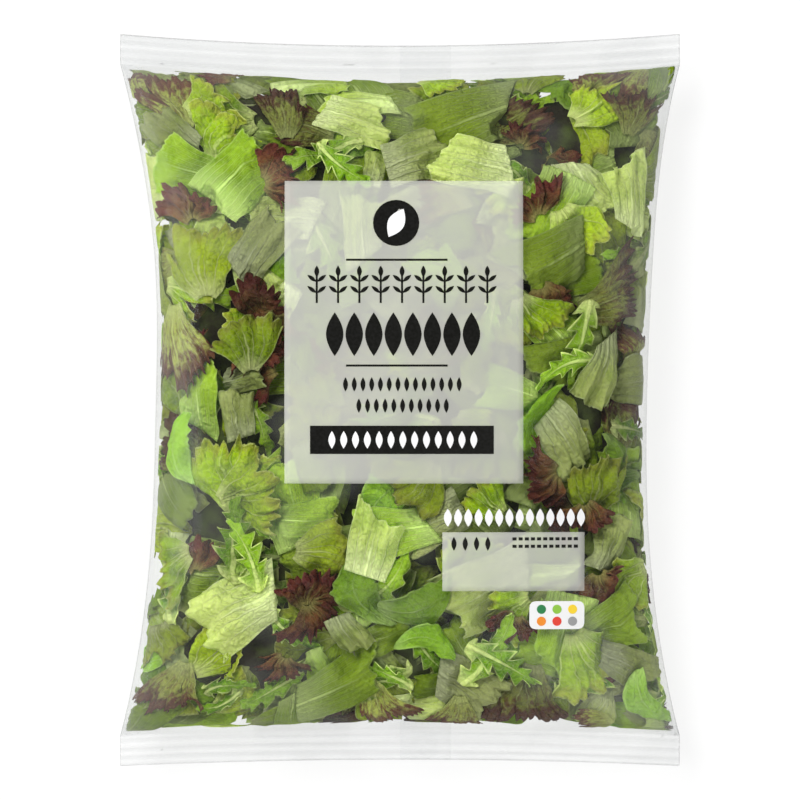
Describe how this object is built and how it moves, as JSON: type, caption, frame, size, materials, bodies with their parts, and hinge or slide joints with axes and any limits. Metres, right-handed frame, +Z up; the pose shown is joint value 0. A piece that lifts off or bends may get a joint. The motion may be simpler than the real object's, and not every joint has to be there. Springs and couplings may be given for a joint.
{
  "type": "bag of salad leaves",
  "caption": "Clear heat-sealed pillow bag of mixed curly salad leaves, lying flat, with crimped end seals, a folded back seam and plain printed panels.",
  "frame": {"origin": "on the table, under the middle of the bag's overall width and length", "axes": "+Z up, out of the printed front; +Y along the bag's length to its upper end seal; +X to the right edge of the front"},
  "size_m": [0.22, 0.288, 0.0656],
  "materials": {
    "leaves": "moist green leaf behind film",
    "pale_leaves": "pale yellow-green leaf heart and ribs",
    "red_leaves": "dark red-brown frilled leaf",
    "film": "clear glossy plastic film",
    "white_print": "white ink on film",
    "veil_print": "half-clear white ink on film",
    "dark_print": "black ink on film",
    "dot_print": "coloured ink dots on film"
  },
  "bodies": {
    "root": {"bag": "leaves"}
  },
  "joints": []
}
